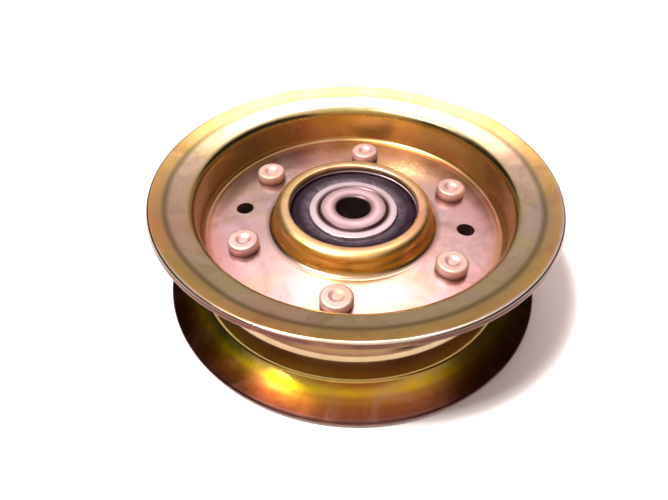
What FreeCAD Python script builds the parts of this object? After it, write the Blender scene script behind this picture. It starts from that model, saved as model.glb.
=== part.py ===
import FreeCAD, Part
import math
import os

# Flat belt idler for a V-belt or flat-belt drive, in millimetres.
# Two identical steel pressings stand back to back and are riveted through their webs.
# Their hub cups clamp a sealed deep-groove ball bearing, whose inner ring holds a steel bushing for the pivot bolt.
# The belt runs on the cylindrical walls, between the two flared brims.
# Frame: origin at the bearing's centre, +Z along the spin axis, the two web holes on the X axis.

Vector = FreeCAD.Vector
INCH = 25.4

# Pulley pressings
brim_diameter = 4.25 * INCH
belt_face_diameter = 3.5 * INCH
overall_width = 1.3 * INCH
sheet = 2.0
brim_slope = math.radians(20)
brim_bend = 2.0
wall_bend = 2.6
hub_bend = 3.3
lip_bend = 1.5
sheared_edge = 0.7
lip_hole_radius = 17.75

# Web rivets and tooling holes, on one circle
web_circle_radius = 1.25 * INCH
rivet_count = 6
first_rivet_angle = 30.0
shank_radius = 2.5
shank_gap = 0.04
formed_head_radius = 4.2
formed_head_height = 2.9
factory_head_radius = 4.4
factory_head_height = 2.2
tooling_hole_radius = 2.5

# Ball bearing: 3/4 inch bore, 40 mm outside, 12 mm wide, two rubber seals
bearing_bore = 0.75 * INCH
bearing_outside = 40.0
bearing_width = 12.0
ball_diameter = 17 / 64 * INCH
ball_count = 8
pitch_radius = 14.25
groove_radius = 0.52 * ball_diameter
ball_gap = 0.03
inner_land_radius = 12.4
outer_land_radius = 16.45
bearing_seat_gap = 0.04

# Cage, pressed in two halves
cage_sheet = 0.75
cage_ball_gap = 0.12
cage_inner_radius = 12.8
cage_outer_radius = 15.7
cage_rivet_radius = 0.45
cage_rivet_head_radius = 0.8
cage_rivet_head_height = 0.35

# Seals
seal_seat_floor = 4.4
seal_seat_radius = 18.2
seal_mouth_radius = 17.8
seal_lip_radius = 12.5
insert_sheet = 0.45
insert_inner_radius = 13.3
insert_outer_radius = 17.0

# Bushing: bored with clearance for a 3/8 inch bolt
bushing_bore = 0.38 * INCH
bushing_length = 0.5 * INCH
bushing_seat_gap = 0.01

# Worked out from the above
half_sheet = sheet / 2
half_bearing = bearing_width / 2
ball_radius = ball_diameter / 2
hub_line = bearing_outside / 2 + bearing_seat_gap + half_sheet
lip_line = half_bearing + half_sheet
web_line = half_sheet
wall_line = belt_face_diameter / 2 - half_sheet
edge_loss = sheared_edge * (math.cos(brim_slope) + math.sin(brim_slope) - 1)
brim_end = Vector(
    brim_diameter / 2 - half_sheet * math.sin(brim_slope) + edge_loss,
    0,
    overall_width / 2 - half_sheet * math.cos(brim_slope) + edge_loss,
)
brim_corner_height = brim_end.z - (brim_end.x - wall_line) * math.tan(brim_slope)

ORIGIN = Vector(0, 0, 0)
AXIS = Vector(0, 0, 1)


def rounded_face(corners):
    """A closed outline in the XZ plane from (radius, height, rounding) corners."""
    points = [Vector(x, 0, z) for x, z, _ in corners]
    cuts = []
    for i, (_, _, rounding) in enumerate(corners):
        here = points[i]
        back = (points[i - 1] - here).normalize()
        ahead = (points[(i + 1) % len(points)] - here).normalize()
        if rounding <= 0:
            cuts.append((here, None, here))
            continue
        half_angle = back.getAngle(ahead) / 2
        trim = rounding / math.tan(half_angle)
        middle = (back + ahead).normalize()
        crown = here + middle * (rounding / math.sin(half_angle) - rounding)
        cuts.append((here + back * trim, crown, here + ahead * trim))
    edges = []
    for i, (start, crown, end) in enumerate(cuts):
        last = cuts[i - 1][2]
        if last.distanceToPoint(start) > 1e-6:
            edges.append(Part.LineSegment(last, start).toShape())
        if crown is not None:
            edges.append(Part.Arc(start, crown, end).toShape())
    return Part.Face(Part.Wire(edges))


def turned(corners):
    """A solid of revolution about the spin axis."""
    return rounded_face(corners).revolve(ORIGIN, AXIS, 360)


def pressed_sheet(line, thickness, edge):
    """A sheet of even thickness along a centre line of (radius, height, bend) corners, revolved."""
    points = [Vector(x, 0, z) for x, z, _ in line]
    runs = [(b - a).normalize() for a, b in zip(points, points[1:])]
    sides = {}
    for side in (1, -1):
        offset = side * thickness / 2
        normals = [Vector(-run.z, 0, run.x) * offset for run in runs]
        outline = [(points[0] + normals[0], edge)]
        for i in range(1, len(points) - 1):
            before, after = runs[i - 1], runs[i]
            turn = before.x * after.z - before.z * after.x
            bend = line[i][2] - math.copysign(1, turn) * offset
            mitre = (normals[i - 1] + normals[i]).normalize()
            reach = abs(offset) / math.cos(before.getAngle(after) / 2)
            outline.append((points[i] + mitre * reach, bend))
        outline.append((points[-1] + normals[-1], edge))
        sides[side] = outline
    closed = sides[1] + sides[-1][::-1]
    return turned([(p.x, p.z, r) for p, r in closed])


def around(angle, radius):
    """A point on a circle about the spin axis."""
    turn = math.radians(angle)
    return Vector(radius * math.cos(turn), radius * math.sin(turn), 0)


def moved(shape, place):
    copy = shape.copy()
    copy.translate(place)
    return copy


def mirrored(shape):
    """The same part on the other side of the middle plane."""
    return shape.mirror(ORIGIN, AXIS)


def tube(inner, outer, low, high):
    """A plain ring."""
    body = Part.makeCylinder(outer, high - low, Vector(0, 0, low))
    return body.cut(Part.makeCylinder(inner, high - low, Vector(0, 0, low)))


def rivet_places():
    step = 360 / rivet_count
    return [around(first_rivet_angle + step * i, web_circle_radius) for i in range(rivet_count)]


def ball_places():
    step = 360 / ball_count
    return [around(step * i, pitch_radius) for i in range(ball_count)]


def pulley_half():
    """The upper pressing: hub lip, hub cup, web, belt wall and flared brim."""
    line = [
        (lip_hole_radius, lip_line, 0),
        (hub_line, lip_line, lip_bend),
        (hub_line, web_line, hub_bend),
        (wall_line, web_line, wall_bend),
        (wall_line, brim_corner_height, brim_bend),
        (brim_end.x, brim_end.z, 0),
    ]
    half = pressed_sheet(line, sheet, sheared_edge)
    reach = 3 * sheet
    for place in rivet_places():
        half = half.cut(Part.makeCylinder(shank_radius + shank_gap, 2 * reach, place - AXIS * reach))
    for angle in (0, 180):
        place = around(angle, web_circle_radius)
        half = half.cut(Part.makeCylinder(tooling_hole_radius, 2 * reach, place - AXIS * reach))
    return half


def web_rivet():
    """A semi-tubular rivet on the Z axis: dished formed head above, low domed factory head below."""
    dish_radius = 2.1
    dish_depth = 0.55
    dish_floor = 1.1
    crown_drop = 0.9
    top = sheet + formed_head_height
    bottom = -sheet - factory_head_height
    return turned(
        [
            (0, bottom, 0),
            (0.45 * factory_head_radius, bottom, 1.2),
            (factory_head_radius, bottom + crown_drop, 0.5),
            (factory_head_radius, -sheet, 0),
            (shank_radius, -sheet, 0),
            (shank_radius, sheet, 0),
            (formed_head_radius, sheet, 0.2),
            (formed_head_radius, top, 0.8),
            (dish_radius, top, 0.25),
            (dish_floor, top - dish_depth, 0.3),
            (0, top - dish_depth, 0),
        ]
    )


def raceway_ring(outline, groove_centre):
    """A bearing ring: a turned outline with the round ball groove cut out of its land."""
    return turned(outline).cut(Part.makeTorus(groove_centre, groove_radius))


def bearing_outer_ring():
    groove_floor = pitch_radius + ball_radius + ball_gap
    outside = bearing_outside / 2
    mouth = seal_seat_floor + 0.95
    side = [
        (outer_land_radius, seal_seat_floor, 0.1),
        (seal_seat_radius, seal_seat_floor, 0.1),
        (seal_seat_radius, mouth, 0.1),
        (seal_mouth_radius, mouth + 0.1, 0.1),
        (seal_mouth_radius, half_bearing, 0.25),
        (outside, half_bearing, 0.6),
    ]
    outline = side + [(x, -z, r) for x, z, r in reversed(side)]
    return raceway_ring(outline, groove_floor - groove_radius)


def bearing_inner_ring():
    groove_floor = pitch_radius - ball_radius - ball_gap
    bore = bearing_bore / 2
    outline = [
        (bore, -half_bearing, 0.6),
        (inner_land_radius, -half_bearing, 0.3),
        (inner_land_radius, half_bearing, 0.3),
        (bore, half_bearing, 0.6),
    ]
    return raceway_ring(outline, groove_floor + groove_radius)


def cage_half():
    """Upper half of the ribbon cage: a flat ring pressed into a dome over each ball."""
    pocket = ball_radius + cage_ball_gap
    band_height = pocket + 2 * cage_sheet
    band = tube(cage_inner_radius, cage_outer_radius, 0, band_height)
    half = tube(cage_inner_radius, cage_outer_radius, 0, cage_sheet)
    for place in ball_places():
        half = half.fuse(Part.makeSphere(pocket + cage_sheet, place).common(band))
    for place in ball_places():
        half = half.cut(Part.makeSphere(pocket, place))
    for place in cage_rivet_places():
        half = half.cut(Part.makeCylinder(cage_rivet_radius, 2 * cage_sheet, place - AXIS * cage_sheet / 2))
    return half.removeSplitter()


def cage_rivet_places():
    step = 360 / ball_count
    return [around(step * (i + 0.5), pitch_radius) for i in range(ball_count)]


def cage_rivets():
    """The small rivets that hold the two cage halves together."""
    grip = cage_sheet
    top = grip + cage_rivet_head_height
    one = turned(
        [
            (0, -top, 0),
            (cage_rivet_head_radius, -top, 0.2),
            (cage_rivet_head_radius, -grip, 0),
            (cage_rivet_radius, -grip, 0),
            (cage_rivet_radius, grip, 0),
            (cage_rivet_head_radius, grip, 0),
            (cage_rivet_head_radius, top, 0.2),
            (0, top, 0),
        ]
    )
    return Part.makeCompound([moved(one, place) for place in cage_rivet_places()])


def seal_rubber():
    """The moulded rubber of the upper seal: snapped into the outer ring's groove, its face dished towards the lip."""
    bead = 0.05
    underside = seal_seat_floor + bead + insert_sheet
    return turned(
        [
            (insert_outer_radius, seal_seat_floor + bead, 0),
            (seal_seat_radius - bead, seal_seat_floor + bead, 0.15),
            (seal_seat_radius - bead, seal_seat_floor + 0.8, 0.2),
            (seal_mouth_radius - 0.35, half_bearing - 0.75, 0.3),
            (16.7, half_bearing - 0.25, 0.6),
            (13.0, half_bearing - 0.75, 0.6),
            (seal_lip_radius, half_bearing - 0.85, 0.1),
            (seal_lip_radius, underside - 0.35, 0.1),
            (insert_inner_radius, underside - insert_sheet, 0),
            (insert_inner_radius, underside, 0),
            (insert_outer_radius, underside, 0),
        ]
    )


def seal_insert():
    """The steel washer bonded under the rubber."""
    low = seal_seat_floor + 0.05
    return tube(insert_inner_radius, insert_outer_radius, low, low + insert_sheet)


def bore_bushing():
    end = bushing_length / 2
    outside = bearing_bore / 2 - bushing_seat_gap
    bore = bushing_bore / 2
    bevel = 0.45
    bore_bevel = 0.3
    side = [
        (bore, end - bore_bevel, 0),
        (bore + bore_bevel, end, 0.1),
        (outside - bevel, end, 0.2),
        (outside, end - bevel, 0.2),
    ]
    return turned(side + [(x, -z, r) for x, z, r in reversed(side)])


def build():
    """Every sub-part by the name of its node."""
    half = pulley_half()
    cage = cage_half()
    rubber = seal_rubber()
    insert = seal_insert()
    ball = Part.makeSphere(ball_radius)
    rivet = web_rivet()
    parts = {
        "upper_pulley_half": half,
        "lower_pulley_half": mirrored(half),
        "bearing_outer_ring": bearing_outer_ring(),
        "bearing_inner_ring": bearing_inner_ring(),
        "cage_upper_half": cage,
        "cage_lower_half": mirrored(cage),
        "cage_rivets": cage_rivets(),
        "upper_seal": rubber,
        "lower_seal": mirrored(rubber),
        "upper_seal_insert": insert,
        "lower_seal_insert": mirrored(insert),
        "bore_bushing": bore_bushing(),
    }
    for i, place in enumerate(rivet_places()):
        parts[f"web_rivet_{i + 1}"] = moved(rivet, place)
    for i, place in enumerate(ball_places()):
        parts[f"bearing_ball_{i + 1}"] = moved(ball, place)
    return parts


os.makedirs("parts", exist_ok=True)
for name, shape in build().items():
    bad = [s for s in shape.Solids if not s.isValid() or s.Volume <= 0]
    print(name, "solids", len(shape.Solids), "volume", round(sum(s.Volume for s in shape.Solids), 1), "bad", len(bad))
    shape.exportStep(f"parts/{name}.step")
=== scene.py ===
import math

import bmesh
import bpy
from mathutils import Matrix, Vector


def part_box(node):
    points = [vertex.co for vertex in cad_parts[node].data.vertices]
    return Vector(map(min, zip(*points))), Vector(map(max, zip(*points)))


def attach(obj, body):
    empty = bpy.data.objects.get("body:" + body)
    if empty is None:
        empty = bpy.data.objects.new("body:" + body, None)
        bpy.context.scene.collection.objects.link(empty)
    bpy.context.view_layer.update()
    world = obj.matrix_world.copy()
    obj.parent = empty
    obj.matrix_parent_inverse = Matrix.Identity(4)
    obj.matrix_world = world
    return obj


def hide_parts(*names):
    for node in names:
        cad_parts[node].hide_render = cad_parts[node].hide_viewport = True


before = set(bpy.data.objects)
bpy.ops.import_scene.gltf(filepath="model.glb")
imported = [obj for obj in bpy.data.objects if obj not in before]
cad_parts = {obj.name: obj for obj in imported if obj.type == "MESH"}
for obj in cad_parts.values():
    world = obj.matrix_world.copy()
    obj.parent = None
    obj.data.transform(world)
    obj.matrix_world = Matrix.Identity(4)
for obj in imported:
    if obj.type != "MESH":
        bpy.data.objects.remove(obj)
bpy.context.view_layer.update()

MM = 0.001

# The pressing in millimetres: its section, with bends at the centre line, and its punched holes
SHEET = 2.0
SHEARED_EDGE = 0.7
HUB_LINE = 21.04
WALL_LINE = 43.45
LIP_HOLE_RADIUS = 17.75
LIP_HEIGHT = 7.0
LIP_BEND = 1.5
HUB_BEND = 3.3
WALL_BEND = 2.6
BRIM_BEND = 2.0
BRIM_SLOPE = math.radians(20)
WEB_CIRCLE_RADIUS = 31.75
RIVET_HOLE_RADIUS = 2.54
RIVET_ANGLES = range(30, 390, 60)
TOOLING_HOLE_RADIUS = 2.5
TOOLING_ANGLES = (0, 180)

# How finely the pressings are made: steps round the axis and a punch, and millimetres along a rounding
TURNED_STEPS = 384
PUNCH_SIDES = 96
ROUNDING_STEP = 0.22

# Edges of a pressing that turn by more than this are shaded sharp
CREASE_ANGLE = math.radians(35)

# Radii that the film tables are spread over
LOWEST_RADIUS = 15.0
HIGHEST_RADIUS = 55.0

# Bands of radius over which the sheet's finish changes from one zone to the next
HUB_TO_WEB_GLOSS = (22.6, 23.6)
WEB_START = (23.8, 25.3)
WEB_END = (40.0, 41.5)
WALL_FOOT_START = (39.0, 40.5)
WALL_FOOT_END = (42.4, 43.0)
DISH_WALL_TO_BELT_WALL = (43.4, 44.2)
BRIM_TO_SHEARED_EDGE = (53.1, 53.3)

# Distances from the middle plane over which the painted highlight on the belt wall's round shoulders, and
# the painted shade at a rivet's foot, end
SHOULDER_END = (3.0, 4.2)
RIVET_FOOT_END = (2.0, 4.3)

# The bearing's middle: the seam between the inner ring and the bushing, and bands of radius round it
SEAM_RADIUS = 9.6
SEAM_SHADE_END = (0.5, 1.2)
BORE_SHADE_END = (5.3, 6.7)
BUSHING_DARK_BAND_START = (7.2, 8.6)
BUSHING_END = (9.1, 9.5)
SEAL_SHEEN_END = (12.9, 15.4)

# The first octaves of a noise texture mostly lie in this range
NOISE_RANGE = (0.3, 0.7)

# Chromate film on the side of the sheet that the bearing sits in, from the hub lip out to the brim's edge
DISH_SIDE_FILM = [
    (17.8, (0.86, 0.58, 0.33)),
    (20.2, (0.86, 0.58, 0.30)),
    (21.4, (0.84, 0.53, 0.18)),
    (22.4, (0.80, 0.46, 0.08)),
    (23.1, (0.56, 0.30, 0.12)),
    (24.0, (0.70, 0.46, 0.42)),
    (25.2, (0.86, 0.62, 0.63)),
    (33.0, (0.87, 0.61, 0.66)),
    (38.5, (0.86, 0.54, 0.56)),
    (41.0, (0.52, 0.27, 0.17)),
    (42.5, (0.53, 0.32, 0.10)),
    (43.1, (0.56, 0.38, 0.12)),
    (44.0, (0.84, 0.66, 0.42)),
    (46.0, (0.86, 0.67, 0.50)),
    (47.8, (0.80, 0.62, 0.46)),
    (49.2, (0.36, 0.27, 0.14)),
    (50.4, (0.79, 0.52, 0.22)),
    (52.6, (0.90, 0.54, 0.19)),
    # Painted highlight: a near-white pink band on the brim's rounded top edge
    (53.4, (0.97, 0.84, 0.78)),
]

# Film on the belt side, from the belt wall out to the brim's edge
BELT_SIDE_FILM = [
    (44.4, (0.23, 0.20, 0.085)),
    (44.8, (0.60, 0.46, 0.10)),
    (47.2, (0.62, 0.40, 0.003)),
    (49.0, (0.37, 0.15, 0.010)),
    (51.0, (0.25, 0.065, 0.010)),
    (52.9, (0.20, 0.048, 0.016)),
    # Painted highlight: a pink line along the brim's edge on the belt side
    (53.6, (0.40, 0.18, 0.15)),
]

# Painted highlight on the belt wall's round shoulders
SHOULDER_PAINTED_HIGHLIGHT = (0.52, 0.41, 0.25)
SHEARED_STEEL = (0.13, 0.048, 0.036)
BROWN_STAIN = (0.42, 0.20, 0.12)
# Painted shade at a rivet head's foot
RIVET_FOOT_PAINTED_SHADE = (0.13, 0.045, 0.030)
# Painted shade in the bearing's seam and round the bore, also used for a darker band on the bushing
BEARING_PAINTED_SHADE = (0.13, 0.060, 0.062)
# Painted sheen round the seal's lip
LIP_PAINTED_SHEEN = (0.095, 0.062, 0.080)

# How the chromate bath tints the film from place to place: brown-pink, straw, olive and lilac
BATH_DRIFT = [
    (0.30, (1.00, 0.74, 0.68)),
    (0.42, (1.00, 0.90, 0.80)),
    (0.50, (1.00, 1.00, 0.92)),
    (0.58, (0.90, 0.97, 0.66)),
    (0.70, (0.90, 0.88, 1.00)),
]

# The studio by the height of the direction looked in, behind the pulley and in front of it
LIGHT_BEHIND = [
    (0.00, (0.12, 0.10, 0.08)),
    (0.06, (0.16, 0.13, 0.10)),
    (0.12, (0.40, 0.32, 0.29)),
    (0.35, (0.44, 0.37, 0.34)),
    (0.55, (0.52, 0.45, 0.45)),
    (0.70, (0.64, 0.56, 0.58)),
    (0.88, (0.95, 0.87, 0.90)),
    (1.00, (0.97, 0.89, 0.92)),
]
LIGHT_IN_FRONT = [
    (0.00, (0.58, 0.35, 0.32)),
    (0.40, (0.69, 0.49, 0.46)),
    (0.80, (0.92, 0.84, 0.85)),
    (1.00, (0.97, 0.89, 0.92)),
]

# A bright soft window high behind the pulley: its direction, its light, and where its edge starts and ends
WINDOW = (-0.03, 0.45, 0.89)
WINDOW_LIGHT = (4.6, 3.7, 3.6)
WINDOW_INNER = math.radians(10)
WINDOW_OUTER = math.radians(18)

# Camera in millimetres, and its lens
CAMERA_PLACE = Vector((11.2, -109.8, 95.7))
CAMERA_TARGET = Vector((-3.7, -11.5, 0.0))
FOCAL_LENGTH = 27.2

floor_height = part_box("lower_pulley_half")[0].z


class Graph:
    """A material's or the world's node tree, built a node at a time."""

    def __init__(self, tree):
        self.tree = tree
        self.tree.nodes.clear()

    def node(self, kind, inputs=(), **settings):
        made = self.tree.nodes.new(kind)
        for name, value in settings.items():
            setattr(made, name, value)
        pairs = inputs.items() if isinstance(inputs, dict) else enumerate(inputs)
        for key, value in pairs:
            if value is None:
                continue
            if isinstance(value, bpy.types.NodeSocket):
                self.tree.links.new(value, made.inputs[key])
            else:
                made.inputs[key].default_value = value
        return made

    def math(self, operation, *values, clamp=False):
        return self.node("ShaderNodeMath", values, operation=operation, use_clamp=clamp).outputs[0]

    def noise(self, vector, scale, detail=2.0, roughness=0.5, distortion=0.0):
        settings = {
            "Vector": vector,
            "Scale": scale,
            "Detail": detail,
            "Roughness": roughness,
            "Distortion": distortion,
        }
        return self.node("ShaderNodeTexNoise", settings).outputs["Fac"]

    def spread(self, value, low, high, to_low=0.0, to_high=1.0):
        """Map a range of one value onto another, clamped."""
        return self.node("ShaderNodeMapRange", (value, low, high, to_low, to_high)).outputs[0]

    def rises(self, length, band):
        """0 before a band given in millimetres, 1 after it."""
        return self.spread(length, band[0] * MM, band[1] * MM)

    def falls(self, length, band, start=1.0):
        """The start value before a band given in millimetres, 0 after it."""
        return self.spread(length, band[0] * MM, band[1] * MM, start, 0.0)

    def ramp(self, value, stops):
        made = self.node("ShaderNodeValToRGB", (value,))
        band = made.color_ramp
        band.interpolation = "EASE"
        while len(band.elements) < len(stops):
            band.elements.new(0.5)
        for element, (place, colour) in zip(band.elements, stops):
            element.position = place
            element.color = (*colour, 1.0)
        return made.outputs[0]

    def mix(self, factor, first, second, blend="MIX"):
        made = self.node("ShaderNodeMix", data_type="RGBA", blend_type=blend)
        sockets = (made.inputs["Factor"], made.inputs[6], made.inputs[7])
        for socket, value in zip(sockets, (factor, first, second)):
            if isinstance(value, bpy.types.NodeSocket):
                self.tree.links.new(value, socket)
            elif isinstance(value, tuple):
                socket.default_value = (*value, 1.0)
            else:
                socket.default_value = value
        return made.outputs[2]

    def bump(self, height, strength, distance, below=None):
        inputs = {"Height": height, "Strength": strength, "Distance": distance, "Normal": below}
        return self.node("ShaderNodeBump", inputs).outputs[0]


def new_material(name):
    made = bpy.data.materials.new(name)
    made.use_nodes = True
    return made, Graph(made.node_tree)


def finish_material(graph, sockets):
    """Close the tree with one Principled shader."""
    shader = graph.node("ShaderNodeBsdfPrincipled", sockets)
    graph.node("ShaderNodeOutputMaterial", {"Surface": shader.outputs[0]})


class Surface:
    """Where a point of the surface lies in the part's own frame, and which way it faces."""

    def __init__(self, graph):
        source = graph.node("ShaderNodeTexCoord")
        self.place = source.outputs["Object"]
        level = (1.0, 1.0, 0.0)
        flat = graph.node("ShaderNodeVectorMath", (self.place, level), operation="MULTIPLY").outputs[0]
        self.radius = graph.node("ShaderNodeVectorMath", (flat,), operation="LENGTH").outputs["Value"]
        height = graph.node("ShaderNodeSeparateXYZ", (self.place,)).outputs["Z"]
        self.from_middle = graph.math("ABSOLUTE", height)
        lean = graph.node("ShaderNodeSeparateXYZ", (source.outputs["Normal"],)).outputs["Z"]
        # 1 on a face that looks away from the middle plane, -1 on one that looks back at it
        self.outward = graph.math("MULTIPLY", graph.math("SIGN", height), lean)
        # The same all round the axis, so a texture read here runs in rings
        self.section = graph.node("ShaderNodeCombineXYZ", (self.radius, height, 0.0)).outputs[0]


def film_by_radius(graph, radius, film):
    """A colour that follows the distance from the spin axis."""
    reach = HIGHEST_RADIUS - LOWEST_RADIUS
    place = graph.spread(radius, LOWEST_RADIUS * MM, HIGHEST_RADIUS * MM)
    stops = [((millimetres - LOWEST_RADIUS) / reach, colour) for millimetres, colour in film]
    return graph.ramp(place, stops)


def sheet_colour(graph, surface):
    """Film on each side of the sheet, the bare sheared edge, the bath's drift, and brown stains."""
    wander = graph.spread(graph.noise(surface.place, 20.0, 2.0, 0.5), *NOISE_RANGE, -0.45 * MM, 0.45 * MM)
    dish_side = film_by_radius(graph, graph.math("ADD", surface.radius, wander), DISH_SIDE_FILM)
    belt_side = film_by_radius(graph, surface.radius, BELT_SIDE_FILM)
    # Painted highlight: the belt wall is paler near the middle plane, on its round shoulders
    belt_side = graph.mix(graph.falls(surface.from_middle, SHOULDER_END), belt_side, SHOULDER_PAINTED_HIGHLIGHT)
    faces_the_dish = graph.math(
        "MAXIMUM",
        graph.spread(surface.outward, 0.05, 0.20),
        graph.falls(surface.radius, DISH_WALL_TO_BELT_WALL),
    )
    colour = graph.mix(faces_the_dish, belt_side, dish_side)
    sheared = graph.math(
        "MULTIPLY",
        graph.rises(surface.radius, BRIM_TO_SHEARED_EDGE),
        graph.spread(surface.outward, 0.42, 0.62, 1.0, 0.0),
    )
    colour = graph.mix(sheared, colour, SHEARED_STEEL)
    drift = graph.ramp(graph.noise(surface.place, 30.0, 3.0, 0.55, 0.8), BATH_DRIFT)
    colour = graph.mix(0.8, colour, drift, "MULTIPLY")
    stain = graph.noise(surface.place, 75.0, 5.0, 0.65, 1.2)
    return graph.mix(graph.spread(stain, 0.50, 0.80, 0.0, 0.6), colour, BROWN_STAIN)


def sheet_roughness(graph, surface, smudge):
    """Smooth brims and walls, a duller web, and dull drawn metal on the hub and at the foot of the wall."""
    web = graph.math(
        "MULTIPLY",
        graph.rises(surface.radius, WEB_START),
        graph.falls(surface.radius, WEB_END),
    )
    foot_of_wall = graph.math(
        "MULTIPLY",
        graph.falls(surface.radius, WALL_FOOT_END),
        graph.rises(surface.radius, WALL_FOOT_START),
    )
    drawn = graph.math("MAXIMUM", graph.falls(surface.radius, HUB_TO_WEB_GLOSS), foot_of_wall)
    roughness = graph.spread(smudge, *NOISE_RANGE, 0.13, 0.21)
    roughness = graph.math("ADD", roughness, graph.math("MULTIPLY", web, 0.08))
    return graph.math("ADD", roughness, graph.math("MULTIPLY", drawn, 0.14))


def plated_steel():
    """Pressed sheet in yellow chromate: gold that drifts to pink, straw, olive and lilac."""
    material, graph = new_material("yellow_chromate_sheet")
    surface = Surface(graph)
    smudge = graph.noise(surface.place, 110.0, 4.0, 0.6, 0.3)
    relief = graph.bump(graph.noise(surface.place, 2600.0, 2.0, 0.6), 0.12, 0.02 * MM)
    relief = graph.bump(graph.noise(surface.section, 1500.0, 3.0, 0.6), 0.05, 0.02 * MM, relief)
    relief = graph.bump(smudge, 0.25, 0.12 * MM, relief)
    finish_material(
        graph,
        {
            "Base Color": sheet_colour(graph, surface),
            "Metallic": 1.0,
            "Roughness": sheet_roughness(graph, surface, smudge),
            "Coat Weight": 0.3,
            "Coat Roughness": 0.08,
            "Normal": relief,
        },
    )
    return material


def rivet_steel():
    """Plated rivet heads, a little pinker and duller than the sheet, with painted shade darkening the foot.
    """
    material, graph = new_material("plated_rivet")
    surface = Surface(graph)
    bath = graph.noise(surface.place, 120.0, 3.0, 0.55, 0.4)
    tints = [(0.3, (0.58, 0.37, 0.34)), (0.5, (0.66, 0.45, 0.40)), (0.7, (0.56, 0.39, 0.30))]
    colour = graph.ramp(bath, tints)
    # Painted shade: the head darkens towards its foot on the web
    colour = graph.mix(graph.falls(surface.from_middle, RIVET_FOOT_END), colour, RIVET_FOOT_PAINTED_SHADE)
    roughness = graph.spread(bath, *NOISE_RANGE, 0.56, 0.68)
    relief = graph.bump(graph.noise(surface.place, 1400.0, 3.0, 0.6), 0.25, 0.04 * MM)
    finish_material(
        graph,
        {"Base Color": colour, "Metallic": 1.0, "Roughness": roughness, "Normal": relief},
    )
    return material


def turned_steel(name, colours, smoothest, roughest, pitch):
    """Ground or turned steel with fine marks that run round the axis, painted shade in the seam and round
    the bore's mouth, and a darker band on the bushing.
    """
    material, graph = new_material(name)
    surface = Surface(graph)
    patches = graph.noise(surface.place, 160.0, 3.0, 0.5)
    colour = graph.mix(graph.spread(patches, *NOISE_RANGE), *colours)
    # Painted shade: darker in the seam between the inner ring and the bushing, and round the mouth of the
    # bore
    from_seam = graph.math("ABSOLUTE", graph.math("SUBTRACT", surface.radius, SEAM_RADIUS * MM))
    in_seam = graph.falls(from_seam, SEAM_SHADE_END, 0.90)
    by_bore = graph.falls(surface.radius, BORE_SHADE_END, 0.80)
    # A darker band on the bushing's face, next to the seam
    dark_band = graph.math(
        "MULTIPLY",
        graph.math("MULTIPLY", graph.rises(surface.radius, BUSHING_DARK_BAND_START), 0.50),
        graph.falls(surface.radius, BUSHING_END),
    )
    painted_shade_and_band = graph.math("MAXIMUM", in_seam, graph.math("MAXIMUM", by_bore, dark_band))
    colour = graph.mix(painted_shade_and_band, colour, BEARING_PAINTED_SHADE)
    marks = graph.noise(surface.section, pitch, 3.0, 0.7)
    roughness = graph.spread(marks, *NOISE_RANGE, smoothest, roughest)
    relief = graph.bump(marks, 0.2, 0.02 * MM)
    finish_material(
        graph,
        {"Base Color": colour, "Metallic": 1.0, "Roughness": roughness, "Normal": relief},
    )
    return material


def seal_rubber():
    """Black nitrile with a moulded skin, and a painted lilac sheen in patches round the lip, where the
    rubber also carries a glossy coat.
    """
    material, graph = new_material("black_nitrile")
    surface = Surface(graph)
    bloom = graph.noise(surface.place, 240.0, 4.0, 0.6, 0.4)
    colour = graph.mix(graph.spread(bloom, 0.45, 0.8), (0.012, 0.004, 0.009), (0.030, 0.013, 0.024))
    # Painted sheen: a lighter lilac colour in patches round the lip, which also gets a glossy coat
    sheen_patches = graph.noise(surface.place, 420.0, 4.0, 0.65, 0.8)
    by_lip = graph.falls(surface.radius, SEAL_SHEEN_END)
    painted_sheen_and_coat = graph.math("MULTIPLY", by_lip, graph.spread(sheen_patches, 0.25, 0.62), clamp=True)
    colour = graph.mix(painted_sheen_and_coat, colour, LIP_PAINTED_SHEEN)
    relief = graph.bump(graph.noise(surface.place, 3200.0, 2.0, 0.5), 0.15, 0.02 * MM)
    finish_material(
        graph,
        {
            "Base Color": colour,
            "Roughness": graph.spread(bloom, *NOISE_RANGE, 0.24, 0.36),
            "Specular IOR Level": 0.14,
            "Coat Weight": painted_sheen_and_coat,
            "Coat Roughness": 0.16,
            "Coat IOR": 1.6,
            "Normal": relief,
        },
    )
    return material


def pale_card():
    """Pale, faintly warm card for the floor."""
    material, graph = new_material("pale_card")
    place = graph.node("ShaderNodeTexCoord").outputs["Object"]
    fibres = graph.noise(place, 900.0, 4.0, 0.6)
    colour = graph.mix(fibres, (0.80, 0.75, 0.745), (0.84, 0.79, 0.785))
    relief = graph.bump(fibres, 0.05, 0.05 * MM)
    finish_material(graph, {"Base Color": colour, "Roughness": 0.75, "Normal": relief})
    return material


def dress(nodes, material):
    """Give CAD nodes their finish."""
    for name in nodes:
        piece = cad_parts[name]
        piece.data.materials.clear()
        piece.data.materials.append(material)


def starting(prefix):
    """Names of the CAD nodes that start the same way."""
    return [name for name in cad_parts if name.startswith(prefix)]


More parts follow.
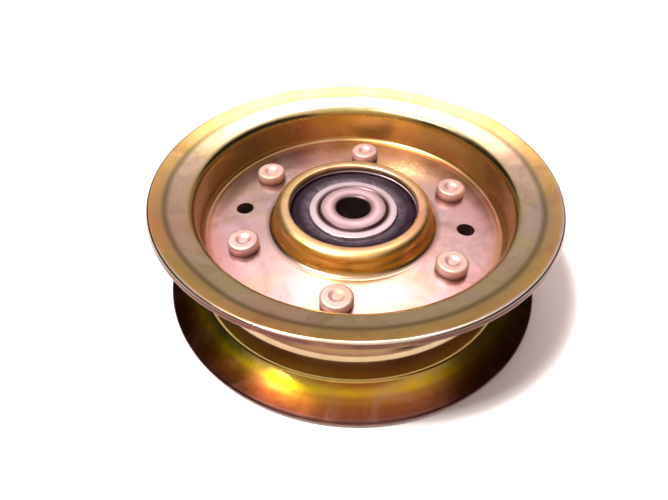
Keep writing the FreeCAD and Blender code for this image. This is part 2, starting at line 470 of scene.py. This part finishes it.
sheet = plated_steel()
dress(starting("web_rivet_"), rivet_steel())
ground = turned_steel("ground_ring_steel", ((0.68, 0.57, 0.61), (0.78, 0.67, 0.71)), 0.28, 0.40, 5200.0)
dress(["bearing_outer_ring", "bearing_inner_ring"], ground)
turned = turned_steel("turned_bushing_steel", ((0.72, 0.52, 0.54), (0.84, 0.64, 0.66)), 0.32, 0.46, 3400.0)
dress(["bore_bushing"], turned)
polished = turned_steel("polished_ball_steel", ((0.82, 0.82, 0.84), (0.86, 0.86, 0.88)), 0.06, 0.10, 2000.0)
dress(starting("bearing_ball_"), polished)
pressed = turned_steel("pressed_cage_steel", ((0.55, 0.55, 0.57), (0.66, 0.66, 0.68)), 0.25, 0.40, 2500.0)
dress(starting("cage_"), pressed)
dress(["upper_seal_insert", "lower_seal_insert"], pressed)
dress(["upper_seal", "lower_seal"], seal_rubber())


def rounded(corners):
    """Points round a closed outline of (radius, height, rounding) corners, closely spaced where it bends."""
    points = []
    for i, (x, z, rounding) in enumerate(corners):
        here = Vector((x, z))
        back = (Vector(corners[i - 1][:2]) - here).normalized()
        ahead = (Vector(corners[(i + 1) % len(corners)][:2]) - here).normalized()
        turn = math.pi - back.angle(ahead)
        centre = here + (back + ahead).normalized() * (rounding / math.cos(turn / 2))
        start = here + back * (rounding * math.tan(turn / 2)) - centre
        direction = math.copysign(1, back.cross(ahead))
        steps = max(6, math.ceil(rounding * turn / ROUNDING_STEP))
        for k in range(steps + 1):
            swung = Matrix.Rotation(-direction * turn * k / steps, 2) @ start
            points.append(centre + swung)
    return points


def pressing_corners():
    """Corners of the pressing's section: its centre line, half a sheet to either side."""
    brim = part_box("upper_pulley_half")[1] / MM
    lost = SHEARED_EDGE * (math.cos(BRIM_SLOPE) + math.sin(BRIM_SLOPE) - 1)
    half_sheet = SHEET / 2
    end = Vector(
        (
            brim.x - half_sheet * math.sin(BRIM_SLOPE) + lost,
            brim.z - half_sheet * math.cos(BRIM_SLOPE) + lost,
        )
    )
    bend_height = end.y - (end.x - WALL_LINE) * math.tan(BRIM_SLOPE)
    line = [
        (LIP_HOLE_RADIUS, LIP_HEIGHT, 0),
        (HUB_LINE, LIP_HEIGHT, LIP_BEND),
        (HUB_LINE, half_sheet, HUB_BEND),
        (WALL_LINE, half_sheet, WALL_BEND),
        (WALL_LINE, bend_height, BRIM_BEND),
        (end.x, end.y, 0),
    ]
    places = [Vector(corner[:2]) for corner in line]
    runs = [(b - a).normalized() for a, b in zip(places, places[1:])]
    sides = []
    for offset in (half_sheet, -half_sheet):
        aside = [Vector((-run.y, run.x)) * offset for run in runs]
        side = [(*(places[0] + aside[0]), SHEARED_EDGE)]
        for i in range(1, len(places) - 1):
            before, after = runs[i - 1], runs[i]
            bend = line[i][2] - math.copysign(1, before.cross(after)) * offset
            mitre = (aside[i - 1] + aside[i]).normalized()
            corner = places[i] + mitre * (abs(offset) / math.cos(before.angle(after) / 2))
            side.append((*corner, bend))
        side.append((*(places[-1] + aside[-1]), SHEARED_EDGE))
        sides.append(side)
    return sides[0] + sides[1][::-1]


def mesh_object(name, building):
    """Turn a bmesh into an object in the scene, with its faces outward."""
    mesh = bpy.data.meshes.new(name)
    bmesh.ops.recalc_face_normals(building, faces=building.faces)
    building.to_mesh(mesh)
    building.free()
    made = bpy.data.objects.new(name, mesh)
    bpy.context.scene.collection.objects.link(made)
    return made


def revolved(name, outline, side):
    """A closed outline in millimetres turned about the spin axis, above or below the middle plane."""
    building = bmesh.new()
    rings = []
    for k in range(TURNED_STEPS):
        turn = 2 * math.pi * k / TURNED_STEPS
        rings.append(
            [
                building.verts.new((p.x * math.cos(turn) * MM, p.x * math.sin(turn) * MM, side * p.y * MM))
                for p in outline
            ]
        )
    for ring, following in zip(rings, rings[1:] + rings[:1]):
        for i in range(len(outline)):
            building.faces.new((ring[i - 1], ring[i], following[i], following[i - 1]))
    return mesh_object(name, building)


def web_punches():
    """The tools that punch the rivet holes and the tooling holes, as one cutting object."""
    building = bmesh.new()
    punches = [(angle, RIVET_HOLE_RADIUS) for angle in RIVET_ANGLES]
    punches += [(angle, TOOLING_HOLE_RADIUS) for angle in TOOLING_ANGLES]
    for angle, radius in punches:
        turn = math.radians(angle)
        place = Vector((math.cos(turn), math.sin(turn), 0)) * WEB_CIRCLE_RADIUS * MM
        bmesh.ops.create_cone(
            building,
            cap_ends=True,
            segments=PUNCH_SIDES,
            radius1=radius * MM,
            radius2=radius * MM,
            depth=6 * SHEET * MM,
            matrix=Matrix.Translation(place),
        )
    return mesh_object("web_punches", building)


def pressing(name, side, material):
    """One pulley half, turned smooth, punched and dressed, standing for its CAD node."""
    made = revolved(name + "_pressing", rounded(pressing_corners()), side)
    punches = web_punches()
    cut = made.modifiers.new("punched", "BOOLEAN")
    cut.object = punches
    cut.operation = "DIFFERENCE"
    cut.solver = "EXACT"
    finished = bpy.data.meshes.new_from_object(made.evaluated_get(bpy.context.evaluated_depsgraph_get()))
    made.modifiers.clear()
    made.data = finished
    bpy.data.objects.remove(punches)
    finished.shade_smooth()
    finished.set_sharp_from_angle(angle=CREASE_ANGLE)
    finished.materials.clear()
    finished.materials.append(material)
    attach(made, "pulley")
    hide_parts(name)


pressing("upper_pulley_half", 1, sheet)
pressing("lower_pulley_half", -1, sheet)


def floor():
    """One large pale sheet under the pulley."""
    half = 3.0
    corners = [(-half, -half, 0), (half, -half, 0), (half, half, 0), (-half, half, 0)]
    mesh = bpy.data.meshes.new("floor")
    mesh.from_pydata(corners, [], [(0, 1, 2, 3)])
    mesh.materials.append(pale_card())
    made = bpy.data.objects.new("floor", mesh)
    made.location.z = floor_height
    bpy.context.scene.collection.objects.link(made)


def aimed(obj, place, target):
    """Put a lamp or the camera in the scene, looking at a target."""
    obj.location = place
    obj.rotation_euler = (Vector(target) - Vector(place)).to_track_quat("-Z", "Y").to_euler()
    bpy.context.scene.collection.objects.link(obj)


def softbox(name, place, size, watts, colour):
    """A square soft lamp aimed at the pulley's middle."""
    lamp = bpy.data.lights.new(name, "AREA")
    lamp.shape = "RECTANGLE"
    lamp.size, lamp.size_y = size
    lamp.energy = watts
    lamp.color = colour
    aimed(bpy.data.objects.new(name, lamp), place, (0, 0, 0))


def surroundings():
    """A studio: a bright window above, warm card in front and behind, paler higher up, and dark sides."""
    world = bpy.data.worlds.new("studio")
    world.use_nodes = True
    bpy.context.scene.world = world
    graph = Graph(world.node_tree)
    direction = graph.node("ShaderNodeTexCoord").outputs["Generated"]
    across, along, up = graph.node("ShaderNodeSeparateXYZ", (direction,)).outputs
    in_front_to_behind = graph.spread(along, -0.15, 0.05)
    card = graph.mix(in_front_to_behind, graph.ramp(up, LIGHT_IN_FRONT), graph.ramp(up, LIGHT_BEHIND))
    aside = graph.spread(graph.math("ABSOLUTE", across), 0.42, 0.60, 0.0, 0.95)
    above_the_table = graph.spread(up, 0.08, 0.36)
    dark = graph.math("MULTIPLY", aside, above_the_table)
    room = graph.mix(dark, card, (0.0, 0.0, 0.0))
    towards_window = graph.node("ShaderNodeVectorMath", (direction, WINDOW), operation="DOT_PRODUCT")
    window = graph.spread(towards_window.outputs["Value"], math.cos(WINDOW_OUTER), math.cos(WINDOW_INNER))
    light = graph.mix(window, room, WINDOW_LIGHT)
    background = graph.node("ShaderNodeBackground", {"Color": light, "Strength": 1.0})
    graph.node("ShaderNodeOutputWorld", {"Surface": background.outputs[0]})


def camera():
    """A close view from the front, above the brim."""
    lens = bpy.data.cameras.new("camera")
    lens.sensor_width = 36.0
    lens.lens = FOCAL_LENGTH
    lens.clip_start = 0.005
    made = bpy.data.objects.new("camera", lens)
    aimed(made, CAMERA_PLACE * MM, CAMERA_TARGET * MM)
    bpy.context.scene.camera = made


floor()
surroundings()
softbox(
    "key_softbox",
    place=(-0.26, -0.12, 0.75),
    size=(0.13, 0.13),
    watts=7.5,
    colour=(0.98, 1.0, 0.97),
)
softbox(
    "bulb_in_the_softbox",
    place=(-0.25, -0.115, 0.72),
    size=(0.035, 0.035),
    watts=2.4,
    colour=(1.0, 1.0, 0.97),
)
camera()
bpy.context.scene.view_settings.view_transform = "Standard"
